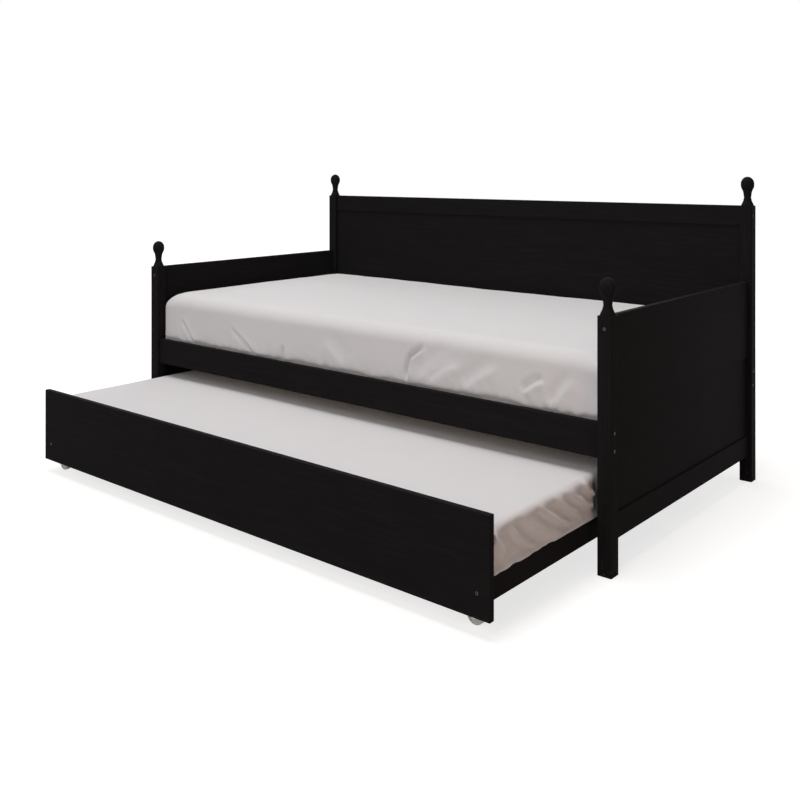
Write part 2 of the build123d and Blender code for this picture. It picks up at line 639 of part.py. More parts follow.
def caster_wheel():
    """A moulded wheel with a rounded tread, a web set in from both sides and a proud hub."""
    tyre = Cylinder(WHEEL_DIAMETER / 2, WHEEL_WIDTH)
    tyre = fillet(tyre.edges(), WHEEL_ROUNDING)
    pocket = Cylinder(WHEEL_DIAMETER / 2 - WHEEL_RIM_WALL, WHEEL_WEB_RECESS)
    pocket_place = (WHEEL_WIDTH - WHEEL_WEB_RECESS) / 2
    for sign in (-1, 1):
        tyre -= Pos(0, 0, sign * pocket_place) * pocket
    tyre += Cylinder(WHEEL_HUB_RADIUS, WHEEL_WIDTH + 2 * WHEEL_HUB_PROUD)
    tyre -= Cylinder(AXLE_DIAMETER / 2 + RUNNING_FIT, 2 * WHEEL_WIDTH)
    return Pos(-CASTER_TRAIL, 0, WHEEL_DIAMETER / 2) * Rot(90, 0, 0) * tyre


def make_casters():
    """Four swivel casters under the trundle's corners, and the screws of their plates."""
    plate, fork, axle, wheel = caster_plate(), caster_fork(), caster_axle(), caster_wheel()
    plate_bottom = CASTER_HEIGHT - CASTER_PLATE_THICKNESS
    plate_holes = Hardware()
    for end, sign in ENDS.items():
        y = TRUNDLE_FRONT + CASTER_INSET_Y if sign < 0 else TRUNDLE_REAR - CASTER_INSET_Y
        for name, side in SIDES.items():
            x = side * CASTER_X
            for screw_x, screw_y in caster_screw_places():
                head = Vector(x + screw_x, y + screw_y, plate_bottom)
                add_screw(plate_holes, head, ALONG_Z, CASTER_SCREW_LENGTH)
            corner = f"{end}_{name}"
            nodes[f"{corner}_caster_plate"] = cut(Pos(x, y, 0) * plate, plate_holes)
            nodes[f"{corner}_caster_fork"] = Pos(x, y, 0) * fork
            nodes[f"{corner}_caster_axle"] = Pos(x, y, 0) * axle
            nodes[f"{corner}_caster_wheel"] = Pos(x, y, 0) * wheel
    trundle.cutters += plate_holes.cutters
    nodes["caster_screws"] = group(plate_holes.screws)


# Mattresses and their fitted sheets


def pillow_section(half_length, half_depth, inset, height):
    """One level of a mattress: round corners, and sides drawn in a little at their middles."""
    x = half_length - inset
    y = half_depth - inset
    radius = MATTRESS_CORNER_RADIUS
    bow = MATTRESS_DRAWN_IN
    diagonal = radius * (1 - cos(pi / 4))
    edges = []
    for turn in range(4):
        along, across = (x, y) if turn % 2 == 0 else (y, x)
        side = ThreePointArc((radius - along, -across), (0, bow - across), (along - radius, -across))
        corner = ThreePointArc(
            (along - radius, -across), (along - diagonal, diagonal - across), (along, radius - across)
        )
        edges += [Rot(0, 0, 90 * turn) * side, Rot(0, 0, 90 * turn) * corner]
    return Pos(0, 0, height) * make_face(Curve() + edges)


def mattress_form(length, depth, height, rounding, shrink):
    """A crowned mattress standing on z = 0, taken in by one amount all over."""
    half_length = length / 2 - shrink
    half_depth = depth / 2 - shrink
    top_rounding = rounding - shrink
    bottom_rounding = MATTRESS_BOTTOM_ROUNDING - shrink
    edge_top = height - MATTRESS_CROWN - shrink
    steps = MATTRESS_ROUNDING_STEPS
    angles = [pi / 2 * step / steps for step in range(steps + 1)]
    levels = [
        (bottom_rounding * (1 - sin(angle)), shrink + bottom_rounding * (1 - cos(angle))) for angle in angles
    ]
    levels += [
        (top_rounding * (1 - cos(angle)), edge_top - top_rounding * (1 - sin(angle))) for angle in angles
    ]
    levels.append((top_rounding + MATTRESS_CROWN_REACH, height - shrink))
    sections = [pillow_section(half_length, half_depth, inset, level) for inset, level in levels]
    return loft(sections, ruled=True)


def make_mattress(name, length, depth, height, rounding, place):
    """A mattress and the fitted sheet round it, open underneath inside the tuck."""
    outside = mattress_form(length, depth, height, rounding, 0.0)
    inside = mattress_form(length, depth, height, rounding, SHEET_THICKNESS)
    opening = Box(length - 2 * SHEET_TUCK, depth - 2 * SHEET_TUCK, 2 * MATTRESS_BOTTOM_ROUNDING)
    sheet = outside - inside - opening
    core = mattress_form(length, depth, height, rounding, SHEET_THICKNESS + SHEET_GAP)
    nodes[f"{name}_sheet"] = Pos(*place) * sheet
    nodes[f"{name}_mattress"] = Pos(*place) * core


# The whole bed


def build():
    """Every node of the bed, with the holes planned before the wood that they go through."""
    make_panels()
    plan_end_joints()
    plan_rail_joints()
    make_slat_deck(
        daybed, "daybed", INSIDE_X - SLAT_SIDE_GAP, INSIDE_X - LEDGER_END_GAP, DECK_FRONT, DECK_REAR, SLAT_TOP
    )
    make_posts_and_finials()
    make_end_boards()
    make_long_rails()
    nodes["daybed_bolts"] = group(daybed.bolts)
    nodes["daybed_barrel_nuts"] = group(daybed.nuts)
    nodes["daybed_dowels"] = group(daybed.dowels)
    nodes["finial_studs"] = group(daybed.studs)
    nodes["daybed_screws"] = group(daybed.screws)

    plan_trundle_joints()
    make_casters()
    corner_blocks = make_corner_blocks()
    make_slat_deck(
        trundle,
        "trundle",
        TRUNDLE_RAIL_INNER - SLAT_SIDE_GAP,
        CORNER_BLOCK_INNER,
        TRUNDLE_INSIDE_FRONT,
        TRUNDLE_INSIDE_REAR,
        TRUNDLE_SLAT_TOP,
    )
    nodes["trundle_corner_blocks"] = group([cut(piece, trundle) for piece in corner_blocks])
    make_trundle_boards()
    nodes["trundle_bolts"] = group(trundle.bolts)
    nodes["trundle_barrel_nuts"] = group(trundle.nuts)
    nodes["trundle_dowels"] = group(trundle.dowels)
    nodes["trundle_screws"] = group(trundle.screws)

    deck_middle = (DECK_FRONT + DECK_REAR) / 2
    make_mattress(
        "upper",
        MATTRESS_LENGTH,
        MATTRESS_DEPTH,
        MATTRESS_HEIGHT,
        MATTRESS_TOP_ROUNDING,
        (0, deck_middle, SLAT_TOP + SEAT_GAP),
    )
    make_mattress(
        "trundle",
        TRUNDLE_MATTRESS_LENGTH,
        TRUNDLE_MATTRESS_DEPTH,
        TRUNDLE_MATTRESS_HEIGHT,
        TRUNDLE_MATTRESS_TOP_ROUNDING,
        (0, TRUNDLE_MIDDLE_Y, TRUNDLE_SLAT_TOP + SEAT_GAP),
    )


build()
os.makedirs("parts", exist_ok=True)
for node_name, shape in nodes.items():
    export_step(shape, f"parts/{node_name}.step")
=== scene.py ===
"""Looks of a black daybed, its pull-out trundle and the two mattresses in white fitted sheets."""

import json
from math import cos, pi, radians, sin
from typing import NamedTuple

import bpy
import numpy as np
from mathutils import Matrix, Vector, noise


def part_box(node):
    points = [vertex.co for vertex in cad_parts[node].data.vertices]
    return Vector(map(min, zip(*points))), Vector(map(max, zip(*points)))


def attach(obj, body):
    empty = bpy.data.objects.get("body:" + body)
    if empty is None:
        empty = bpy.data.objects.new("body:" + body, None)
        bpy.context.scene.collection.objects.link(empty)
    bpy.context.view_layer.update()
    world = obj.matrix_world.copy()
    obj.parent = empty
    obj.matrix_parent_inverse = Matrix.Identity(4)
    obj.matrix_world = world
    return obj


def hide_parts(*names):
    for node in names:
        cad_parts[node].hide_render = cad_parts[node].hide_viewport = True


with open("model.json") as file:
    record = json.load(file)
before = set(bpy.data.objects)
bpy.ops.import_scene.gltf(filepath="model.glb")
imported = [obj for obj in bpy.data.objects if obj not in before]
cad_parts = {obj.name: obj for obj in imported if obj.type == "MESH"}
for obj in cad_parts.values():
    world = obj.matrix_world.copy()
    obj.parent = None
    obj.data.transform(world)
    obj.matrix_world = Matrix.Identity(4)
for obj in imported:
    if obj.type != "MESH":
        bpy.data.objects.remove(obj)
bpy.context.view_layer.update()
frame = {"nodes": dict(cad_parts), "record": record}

bl_info = {
    "name": "Daybed and trundle",
    "version": (1, 0, 0),
    "blender": (4, 5, 0),
    "location": "3D View > Sidebar > Daybed",
    "description": "Finishes and bedding for a daybed with a pull-out trundle",
    "category": "Object",
}

X_AXIS = 0
Y_AXIS = 1
Z_AXIS = 2


def slot_colour(slot):
    """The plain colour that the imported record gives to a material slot."""
    for material in frame["record"]["materials"]:
        if material["slot"] == slot:
            return tuple(material["base_color"])
    raise ValueError(f"the record has no material slot {slot}")


# What a user may change


def colour_property(name, description, default):
    """A colour setting."""
    return bpy.props.FloatVectorProperty(
        name=name, description=description, subtype="COLOR", size=3, min=0.0, max=1.0, default=default
    )


def length_property(name, description, default):
    """A length setting in metres."""
    return bpy.props.FloatProperty(
        name=name, description=description, unit="LENGTH", min=0.0, precision=4, default=default
    )


def share_property(name, description, default):
    """A setting from nothing to all."""
    return bpy.props.FloatProperty(
        name=name, description=description, subtype="FACTOR", min=0.0, max=1.0, default=default
    )


def power_property(name, description, default):
    """The power setting of a lamp."""
    return bpy.props.FloatProperty(name=name, description=description, unit="POWER", default=default)


class FinishSettings(bpy.types.PropertyGroup):
    """Colours and gloss of the bed's finishes."""

    paint: colour_property("Paint", "Satin paint on the frame", (0.0132, 0.0120, 0.0124))
    paint_roughness: share_property("Paint roughness", "How dull the satin paint is", 0.42)
    paint_shine: share_property("Paint shine", "How much of its surroundings the satin paint shows", 0.003)
    pine: colour_property("Pine", "Bare wood of slats, ledgers and blocks", slot_colour("bare_pine"))
    dark_steel: colour_property("Dark steel", "Blackened bolt heads", (0.06, 0.06, 0.065))
    black_steel: colour_property("Black steel", "Blackened barrel nuts", (0.016, 0.016, 0.017))
    zinc: colour_property("Zinc", "Plated casters, studs and screws", slot_colour("zinc_steel"))
    nylon: colour_property("Nylon", "Moulded caster wheels", (0.74, 0.72, 0.69))
    cotton: colour_property("Cotton", "White fitted sheets", (0.70, 0.673, 0.678))
    ticking: colour_property("Ticking", "Woven mattress cover", slot_colour("mattress_ticking"))


class BeddingSettings(bpy.types.PropertyGroup):
    """Sizes of the mattresses and sheets that the frame doesn't set."""

    upper_edge: length_property("Upper edge", "Radius of the upper mattress's top edge", 0.048)
    trundle_edge: length_property("Trundle edge", "Radius of the trundle mattress's top edge", 0.022)
    upper_droop: length_property("Upper droop", "How far the upper sheet's corners are pulled down", 0.011)
    upper_rise: length_property("Upper rise", "How much higher the upper mattress's left end lies", 0.006)
    trundle_droop: length_property(
        "Trundle droop", "How far the trundle sheet's corners are pulled down", 0.01
    )
    lower_edge: length_property("Lower edge", "Radius of a mattress's bottom edge", 0.01)
    corner: length_property("Corner", "Radius of a mattress's upright corners", 0.012)
    crown: length_property("Crown", "How far a mattress's middle stands above its edge", 0.002)
    drawn: length_property("Drawn in", "How far the middle of a side is drawn in", 0.003)
    tuck: length_property("Tuck", "Width of sheet turned in under a mattress", 0.062)
    cloth: length_property("Cloth", "Thickness of the sheets, with their hems", 0.0011)
    filling: length_property("Filling", "Most that a mattress swells when it is filled", 0.004)


class StageSettings(bpy.types.PropertyGroup):
    """Camera, lamps and floor."""

    camera_place: bpy.props.FloatVectorProperty(
        name="Camera place",
        description="Where the camera stands",
        subtype="TRANSLATION",
        unit="LENGTH",
        size=3,
        default=(2.173, -2.524, 1.064),
    )
    camera_turn: bpy.props.FloatProperty(
        name="Camera turn",
        description="How far the level camera turns to the left of the bed's depth",
        subtype="ANGLE",
        default=radians(40.13),
    )
    camera_lens: bpy.props.FloatProperty(
        name="Lens", description="Focal length of the camera", unit="CAMERA", default=42.9
    )
    camera_shift: bpy.props.FloatProperty(
        name="Lens shift", description="Shift that keeps upright lines upright", default=-0.289
    )
    sky: share_property("Sky", "Strength of the even light from all round", 0.13)
    overhead: power_property("Overhead lamp", "Power of the softbox above", 525.0)
    front: power_property("Front lamp", "Power of the softbox in front", 117.0)
    rear: power_property("Rear lamp", "Power of the softbox behind", 80.0)
    side: power_property("Side lamp", "Power of the low lamp beside the trundle", 3.6)
    side_tint: colour_property("Side tint", "Warm colour of the low lamp", (1.0, 0.55, 0.3))
    floor: colour_property("Floor", "Pale floor", (0.45, 0.42, 0.4))
    floor_glow: colour_property(
        "Floor glow",
        "What the camera sees on the floor near the bed besides its light",
        (0.725, 0.729, 0.731),
    )


# Shader values as Python expressions

NOISE_MIDDLE = 0.5

# Sockets of a Mix node that blends two colours
MIX_SHARE = 0
MIX_ONE = 6
MIX_OTHER = 7
MIX_COLOUR = 2


class Shade:
    """A value in a shader. The arithmetic signs on it add Math nodes."""

    def __init__(self, finish, socket):
        self.finish = finish
        self.socket = socket

    def __add__(self, other):
        return self.finish.maths("ADD", self, other)

    def __sub__(self, other):
        return self.finish.maths("SUBTRACT", self, other)

    def __rsub__(self, other):
        return self.finish.maths("SUBTRACT", other, self)

    def __mul__(self, other):
        return self.finish.maths("MULTIPLY", self, other)

    __radd__ = __add__
    __rmul__ = __mul__


class Finish:
    """The nodes of one material or of the world, added one at a time."""

    def __init__(self, owner):
        self.owner = owner
        owner.use_nodes = True
        self.tree = owner.node_tree
        self.tree.nodes.clear()

    def feed(self, socket, value):
        """Link a shader value to a socket, or set the socket to a number or colour."""
        if isinstance(value, Shade):
            self.tree.links.new(value.socket, socket)
        elif hasattr(value, "__len__") and socket.type == "RGBA":
            socket.default_value = (*value[:3], 1.0)
        else:
            socket.default_value = value

    def node(self, kind, settings=None, sockets=None, output=0):
        """One node: its settings come first, then its sockets' values or links."""
        node = self.tree.nodes.new("ShaderNode" + kind)
        for name, value in (settings or {}).items():
            setattr(node, name, value)
        for name, value in (sockets or {}).items():
            self.feed(node.inputs[name], value)
        return Shade(self, node.outputs[output]) if node.outputs else None

    def maths(self, operation, one, other):
        """One Math node."""
        return self.node("Math", {"operation": operation}, {0: one, 1: other})

    def clamped(self, value):
        """A value held between nothing and one."""
        return self.node("Clamp", None, {"Value": value})

    def wave(self, value):
        """The sine of a value."""
        return self.node("Math", {"operation": "SINE"}, {0: value})

    def rise(self, value, low, high):
        """Nothing below low, one above high, and smooth between them."""
        sockets = {"Value": value, "From Min": low, "From Max": high}
        return self.node("MapRange", {"interpolation_type": "SMOOTHSTEP"}, sockets)

    def blend(self, share, one, other):
        """A colour between two others."""
        sockets = {MIX_SHARE: share, MIX_ONE: one, MIX_OTHER: other}
        return self.node("Mix", {"data_type": "RGBA"}, sockets, MIX_COLOUR)

    def place(self):
        """Object coordinates, which are the bed's own metres."""
        return self.node("TexCoord", output="Object")

    def cloth_place(self):
        """The cloth's own flat coordinates in metres."""
        return self.node("UVMap", {"uv_map": "cloth"})

    def stretched(self, place, along, amount):
        """Coordinates drawn out along one axis."""
        scale = [1.0, 1.0, 1.0]
        scale[along] = amount
        return self.node("VectorMath", {"operation": "MULTIPLY"}, {0: place, 1: scale})

    def part(self, place, axis):
        """One of a place's three numbers."""
        return self.node("SeparateXYZ", None, {0: place}, axis)

    def cloud(self, place, scale, detail=2.0, roughness=0.5, distortion=0.0):
        """Soft noise between nothing and one."""
        sockets = {
            "Vector": place,
            "Scale": scale,
            "Detail": detail,
            "Roughness": roughness,
            "Distortion": distortion,
        }
        return self.node("TexNoise", None, sockets)

    def cells(self, place, scale):
        """The distance to the nearest of many scattered points."""
        return self.node("TexVoronoi", None, {"Vector": place, "Scale": scale}, "Distance")

    def bump(self, height, strength, distance):
        """A surface normal from a height."""
        sockets = {"Strength": strength, "Distance": distance, "Height": height}
        return self.node("Bump", None, sockets, "Normal")

    def surface(self, sockets):
        """The finished surface."""
        shader = self.node("BsdfPrincipled", None, sockets)
        self.node("OutputMaterial", None, {"Surface": shader})
        return self.owner


def new_finish(name):
    """An empty material to add nodes to."""
    return Finish(bpy.data.materials.new(name))


def tinted(colour, factor):
    """A colour made lighter or darker."""
    return tuple(min(1.0, part * factor) for part in colour)


def swing(cloud):
    """How far a cloud lies above or below its middle."""
    return cloud - NOISE_MIDDLE


# Finishes

RING_RATE = 60.0
PATCH_LOW = 0.35
CLOUDY_LOW = 0.3
BARE_STEEL = (0.48, 0.47, 0.46)


def satin_paint(name, settings, along):
    """Black satin paint over wood whose grain runs along one axis, with a painted sheen along the grain."""
    finish = new_finish(name)
    place = finish.place()
    drawn = finish.stretched(place, along, amount=0.045)
    grain = finish.cloud(drawn, scale=160.0, detail=5.0, roughness=0.62, distortion=0.3)
    brush = finish.cloud(finish.stretched(place, along, amount=0.012), scale=420.0)
    peel = finish.cloud(place, scale=620.0, detail=1.0)
    patch = finish.cloud(place, scale=7.0, detail=4.0, roughness=0.6)
    foot = 1.0 - finish.rise(finish.part(place, Z_AXIS), low=0.004, high=0.07)
    rubbing = finish.cloud(place, scale=85.0, detail=6.0, roughness=0.7)
    scuff = foot * finish.rise(rubbing, low=0.5, high=0.66)
    # Painted sheen: the paint is lighter along the grain and in patches, which is partly the grain's own
    # tone.
    grain_tone_and_painted_sheen = finish.clamped(0.7 * finish.rise(grain, low=0.42, high=0.7) + 0.5 * (patch - PATCH_LOW))
    paint = tuple(settings.paint)
    colour = finish.blend(grain_tone_and_painted_sheen, tinted(paint, factor=0.9), tinted(paint, factor=1.2))
    # Dust and scuffs near the floor lighten the paint; this colour still carries the painted sheen.
    dust_and_painted_sheen = finish.blend(0.35 * scuff, colour, tinted(paint, factor=7.0))
    roughness = settings.paint_roughness + 0.16 * swing(patch) + 0.1 * swing(grain) + 0.12 * scuff
    height = 0.6 * grain + 0.3 * brush + 0.2 * peel
    return finish.surface(
        {
            "Base Color": dust_and_painted_sheen,
            "Roughness": finish.clamped(roughness),
            "Specular IOR Level": settings.paint_shine,
            "Normal": finish.bump(height, strength=0.3, distance=0.0006),
        }
    )


def bare_pine(name, settings, along):
    """Planed pine: growth rings, fibres and a few knots."""
    finish = new_finish(name)
    place = finish.place()
    drawn = finish.stretched(place, along, amount=0.06)
    growth = finish.cloud(drawn, scale=7.0, roughness=0.45, distortion=0.6)
    late = finish.rise(finish.wave(RING_RATE * growth), low=0.1, high=0.95)
    fine = finish.stretched(place, along, amount=0.02)
    fibre = finish.cloud(fine, scale=330.0, detail=4.0, roughness=0.6)
    spot = finish.cells(finish.stretched(place, along, amount=0.5), scale=4.0)
    knot = 1.0 - finish.rise(spot, low=0.03, high=0.075)
    pine = tuple(settings.pine)
    bands = 0.45 * late + 0.2 * fibre
    wood = finish.blend(bands, tinted(pine, factor=1.12), tinted(pine, factor=0.62))
    colour = finish.blend(0.75 * knot, wood, tinted(pine, factor=0.28))
    height = 0.5 * fibre + 0.3 * late + 0.2 * knot
    return finish.surface(
        {
            "Base Color": colour,
            "Roughness": finish.clamped(0.62 + 0.2 * swing(fibre) - 0.1 * late),
            "Specular IOR Level": 0.35,
            "Normal": finish.bump(height, strength=0.35, distance=0.0007),
        }
    )


def plated_steel(name, colour, roughness, wear):
    """Turned or pressed steel under a thin plating that has rubbed in places."""
    finish = new_finish(name)
    place = finish.place()
    smear = finish.cloud(place, scale=130.0, detail=5.0, roughness=0.65)
    fine = finish.cloud(place, scale=2400.0)
    rubbed = finish.rise(smear, low=0.56, high=0.72)
    spangle = finish.clamped(0.6 * finish.cells(place, scale=900.0) + 0.3 * smear)
    plating = finish.blend(spangle, tinted(colour, factor=0.8), tinted(colour, factor=1.15))
    worn = finish.blend(wear * rubbed, plating, BARE_STEEL)
    return finish.surface(
        {
            "Base Color": worn,
            "Metallic": 1.0,
            "Roughness": finish.clamped(roughness + 0.25 * swing(smear) + 0.12 * swing(fine)),
            "Normal": finish.bump(0.5 * fine + 0.5 * smear, strength=0.25, distance=0.0003),
        }
    )


def moulded_nylon(name, colour):
    """Caster nylon with a moulded bloom, fine scratches and some grime."""
    finish = new_finish(name)
    place = finish.place()
    bloom = finish.cloud(place, scale=55.0, detail=3.0)
    drawn = finish.stretched(place, Z_AXIS, amount=0.15)
    scratch = finish.rise(finish.cloud(drawn, scale=700.0, detail=3.0, roughness=0.7), low=0.58, high=0.66)
    grime = finish.rise(finish.cloud(place, scale=170.0, detail=6.0, roughness=0.68), low=0.52, high=0.74)
    clean = finish.blend(bloom, tinted(colour, factor=0.92), tinted(colour, factor=1.06))
    dirty = finish.blend(0.45 * grime, clean, tinted(colour, factor=0.35))
    return finish.surface(
        {
            "Base Color": dirty,
            "Roughness": finish.clamped(0.42 + 0.2 * bloom + 0.15 * grime),
            "Normal": finish.bump(0.6 * bloom + 0.4 * scratch, strength=0.25, distance=0.0004),
        }
    )


def slub_lines(finish, flat, along):
    """The thicker stretches of a cloth's threads that run along one axis."""
    lines = finish.cloud(finish.stretched(flat, along, amount=0.05), scale=520.0, detail=3.0)
    return finish.rise(lines, low=0.45, high=0.75)


def woven_cloth(name, colour, thread, slub_share, strength):
    """Plain weave on the cloth's own flat coordinates, with slubs and a soft unevenness."""
    finish = new_finish(name)
    flat = finish.cloth_place()
    warp = finish.wave(2 * pi / thread * finish.part(flat, X_AXIS))
    weft = finish.wave(2 * pi / thread * finish.part(flat, Y_AXIS))
    slubs = slub_lines(finish, flat, Y_AXIS) + slub_lines(finish, flat, X_AXIS)
    cloudy = finish.cloud(finish.place(), scale=5.0, detail=4.0, roughness=0.55)
    weave = 0.5 + 0.5 * warp * weft
    shade = finish.clamped(0.3 * weave + slub_share * slubs + 0.6 * (cloudy - CLOUDY_LOW))
    tone = finish.blend(shade, tinted(colour, factor=0.955), tinted(colour, factor=1.03))
    return finish.surface(
        {
            "Base Color": tone,
            "Roughness": finish.clamped(0.86 + 0.1 * swing(weave)),
            "Specular IOR Level": 0.2,
            "Sheen Weight": 0.12,
            "Sheen Roughness": 0.5,
            "Normal": finish.bump(0.7 * weave + 0.5 * slubs, strength, distance=0.0004),
        }
    )


# Sharing out the finishes

GROUP_GRAIN = {"_slats": Y_AXIS, "_dowels": X_AXIS, "_blocks": Z_AXIS}


def give(node, material):
    """Put one material on every slot of a frame node."""
    slots = frame["nodes"][node].material_slots
    for slot in slots:
        slot.material = material
    if not slots:
        frame["nodes"][node].data.materials.append(material)


def nodes_of(slot):
    """The names of the frame's nodes that the record puts in a material slot."""
    return [part["node"] for part in frame["record"]["subparts"] if part["material_slot"] == slot]


def longest_axis(node):
    """The axis along which a node's wood grain runs, which is its longest side."""
    low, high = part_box(node)
    sides = list(high - low)
    return sides.index(max(sides))


def grain_axis(node):
    """The axis of a node's grain. Where a node is a group of like pieces, it is named."""
    for ending, axis in GROUP_GRAIN.items():
        if node.endswith(ending):
            return axis
    return longest_axis(node)


def finish_wood(slot, maker, settings):
    """Give each node of a wooden slot the finish whose grain runs its way."""
    made = {}
    for node in nodes_of(slot):
        axis = grain_axis(node)
        if axis not in made:
            made[axis] = maker(f"{slot}_{'xyz'[axis]}", settings, axis)
        give(node, made[axis])


# Bedding


class Bed(NamedTuple):
    """What one mattress and its sheet are called, how they are made and how far their sides may lift."""

    name: str
    body: str
    column_steps: tuple
    fine_columns: tuple
    row_step: float
    end_room: float
    side_room: float


NO_RUN = (0.0, 0.0)
UPPER = Bed(
    name="upper",
    body="daybed",
    column_steps=(0.0055, 0.03),
    fine_columns=(0.27, 0.38),
    row_step=0.0056,
    end_room=0.001,
    side_room=0.006,
)
TRUNDLE = Bed(
    name="trundle",
    body="trundle",
    column_steps=(0.03, 0.0035),
    fine_columns=NO_RUN,
    row_step=0.0035,
    end_room=0.0045,
    side_room=0.0012,
)
BEDS = (UPPER, TRUNDLE)
END_SIDES = ("left", "right")
LONG_SIDES = ("front", "back")

# How finely a sheet is divided
CORNER_COLUMNS = 5
FINE_STEP = 0.0027
EDGE_ROWS = 10
LOWER_ROWS = 4
TUCK_ROWS = 5

# How a sheet lies on its mattress
TOP_ROOM = 0.004
CROWN_POWER = 0.4
UNDERSIDE = -0.5
DROOP_REACH = 0.1
REAR_DROOP_SHARE = 0.35
GROOVE_DROP = 0.006
GROOVE_RISE = 0.024
GROOVE_DEPTH = 0.011
END_SLACK = 0.011
SLACK_FOOT = 0.02
SLACK_TOP = 0.085

# Small unevenness of a sheet: scales of the noise and lifts in metres
SLOW_SCALE = 2.6
SLOW_LIFT = 0.0016
SLOW_TOP_LIFT = 0.0012
PULL_SCALE = Vector((9.0, 9.0, 5.0))
PULL_LIFT = 0.0014
PUCKER_SCALE = Vector((24.0, 24.0, 13.0))
PUCKER_LEAN = 12.0
PUCKER_LIFT = 0.0045
PUCKER_MIDDLE = 0.25
PUCKER_HEIGHT = 0.1

# How unevenly the hem gathers a sheet: scale of the noise, its row and its share
LONG_GATHER = (11.0, 0.7, 0.6)
SHORT_GATHER = (46.0, 2.9, 0.4)
GATHER_MIDDLE = 0.45
GATHER_LEAST = 0.12

# How a mattress is blocked out and filled
PAD_ROOM = Vector((0.026, 0.024, 0.007))
PAD_CORNER = 0.09
PAD_CORNER_CUTS = 8
PAD_EDGE_EXTRA = 0.008
PAD_EDGE_CUTS = 6
PAD_VOXEL = 0.016
PAD_FRAMES = 20
PAD_PRESSURE = 4.0
PAD_SETTLE = 0.05
LEAST_MOVE = 1e-9

# Places of the lowest and the highest corner among an object's eight
LOW_CORNER = 0
HIGH_CORNER = 6

# A fold's gentle and steep widths, its rise and its hollow
THIN_FOLD = (0.009, 0.006, 0.0155, 0.004)
SOFT_FOLD = (0.013, 0.008, 0.0155, 0.004)
BROAD_FOLD = (0.022, 0.014, 0.0155, 0.004)

# How a fold fades at its ends, and where its hollow lies in steep widths
CREST_SHARPNESS = 1.15
FOLD_START = 0.3
FOLD_FADE = 0.75
HOLLOW_PLACE = 2.2
HOLLOW_WIDTH = 1.5

# Further folds on the trundle's ends: each pair is a size and its change as the folds sway
RIGHT_START = -0.26
LEFT_INSET = 0.012
BACK_CLEAR = 0.16
SWAY_SCALE = 9.0
SWAY_ROW = 0.4
FOLD_REACH = (0.13, 0.05)
FOLD_DROP = (0.008, 0.01)
BEND_SHARE = 0.42
BEND_HEIGHT = (0.062, 0.01)
FOOT_HEIGHT = (0.014, 0.016)
FOLD_STEP = (0.084, 0.03)


class Crease(NamedTuple):
    """A fold on one side of a mattress, along a path of places as (along the side, height).

    Its gentle flank lies to the left of the path and its steep one to the right.
    """

    side: str
    path: tuple
    gentle: float
    steep: float
    rise: float
    hollow: float


def smooth(value, low, high):
    """Nothing at low, one at high, and smooth between them."""
    share = np.clip((value - low) / (high - low), 0.0, 1.0)
    return share * share * (3.0 - 2.0 * share)


def follow(path, along, height):
    """How far each point lies to the left of a path, and its share of the path's length."""
    corners = np.array(path)
    steps = np.diff(corners, axis=0)
    lengths = np.hypot(*steps.T)
    runs = np.concatenate([[0.0], np.cumsum(lengths)])
    nearest = np.full(len(along), np.inf)
    off = np.zeros(len(along))
    share = np.zeros(len(along))
    for (start, level), (step, climb), length, run in zip(corners, steps, lengths, runs):
        gap_along = along - start
        gap_height = height - level
        reach = np.clip((gap_along * step + gap_height * climb) / length**2, 0.0, 1.0)
        gap_along = gap_along - reach * step
        gap_height = gap_height - reach * climb
        gap = np.hypot(gap_along, gap_height)
        closer = gap < nearest
        left = np.sign(step * gap_height - climb * gap_along)
        off = np.where(closer, left * gap, off)
        share = np.where(closer, (run + reach * length) / runs[-1], share)
        nearest = np.minimum(nearest, gap)
    return off, share


def crease_lift(crease, along, height):
    """How far a fold lifts the cloth: a ridge with a gentle flank, a steep one and a hollow at its foot."""
    off, share = follow(crease.path, along, height)
    taper = smooth(share, 0.0, FOLD_START) * (1.0 - smooth(share, FOLD_FADE, 1.0))
    flank = np.where(off > 0, crease.gentle, crease.steep)
    ridge = np.exp(-((np.abs(off) / flank) ** CREST_SHARPNESS))
    from_hollow = off + HOLLOW_PLACE * crease.steep
    hollow = np.exp(-((from_hollow / (HOLLOW_WIDTH * crease.steep)) ** 2))
    return taper * (crease.rise * ridge - crease.hollow * hollow)


def upper_creases():
    """The folds along the front of the upper mattress: a hooked crease, a fan beside it and some more."""
    hook = ((0.362, 0.520), (0.332, 0.497), (0.304, 0.478), (0.293, 0.446), (0.289, 0.398))
    folds = (
        (hook, 0.022, 0.005, 0.0085, 0.0165),
        (((0.500, 0.512), (0.400, 0.462), (0.298, 0.400)), 0.034, 0.018, 0.0055, 0.0035),
        (((0.505, 0.488), (0.425, 0.445), (0.365, 0.400)), 0.024, 0.011, 0.0055, 0.0042),
        (((0.640, 0.500), (0.560, 0.452), (0.490, 0.400)), 0.032, 0.014, 0.0052, 0.0040),
        (((0.785, 0.476), (0.752, 0.462), (0.706, 0.428)), 0.016, 0.0065, 0.0075, 0.0085),
        (((0.880, 0.500), (0.838, 0.452), (0.806, 0.402)), 0.028, 0.010, 0.0052, 0.0048),
        (((-0.266, 0.452), (-0.269, 0.424), (-0.274, 0.376)), 0.014, 0.006, 0.0030, 0.0085),
        (((-0.560, 0.496), (-0.460, 0.432), (-0.375, 0.372)), 0.022, 0.005, 0.0036, 0.0085),
        (((-0.846, 0.492), (-0.794, 0.440), (-0.748, 0.376)), 0.016, 0.005, 0.0045, 0.0075),
        (((0.020, 0.400), (-0.020, 0.440), (-0.090, 0.490)), 0.034, 0.018, 0.0034, 0.0022),
    )
    return [Crease("front", *fold) for fold in folds]


def swayed(size, sway):
    """A size that changes as the folds sway."""
    plain, change = size
    return plain + change * sway


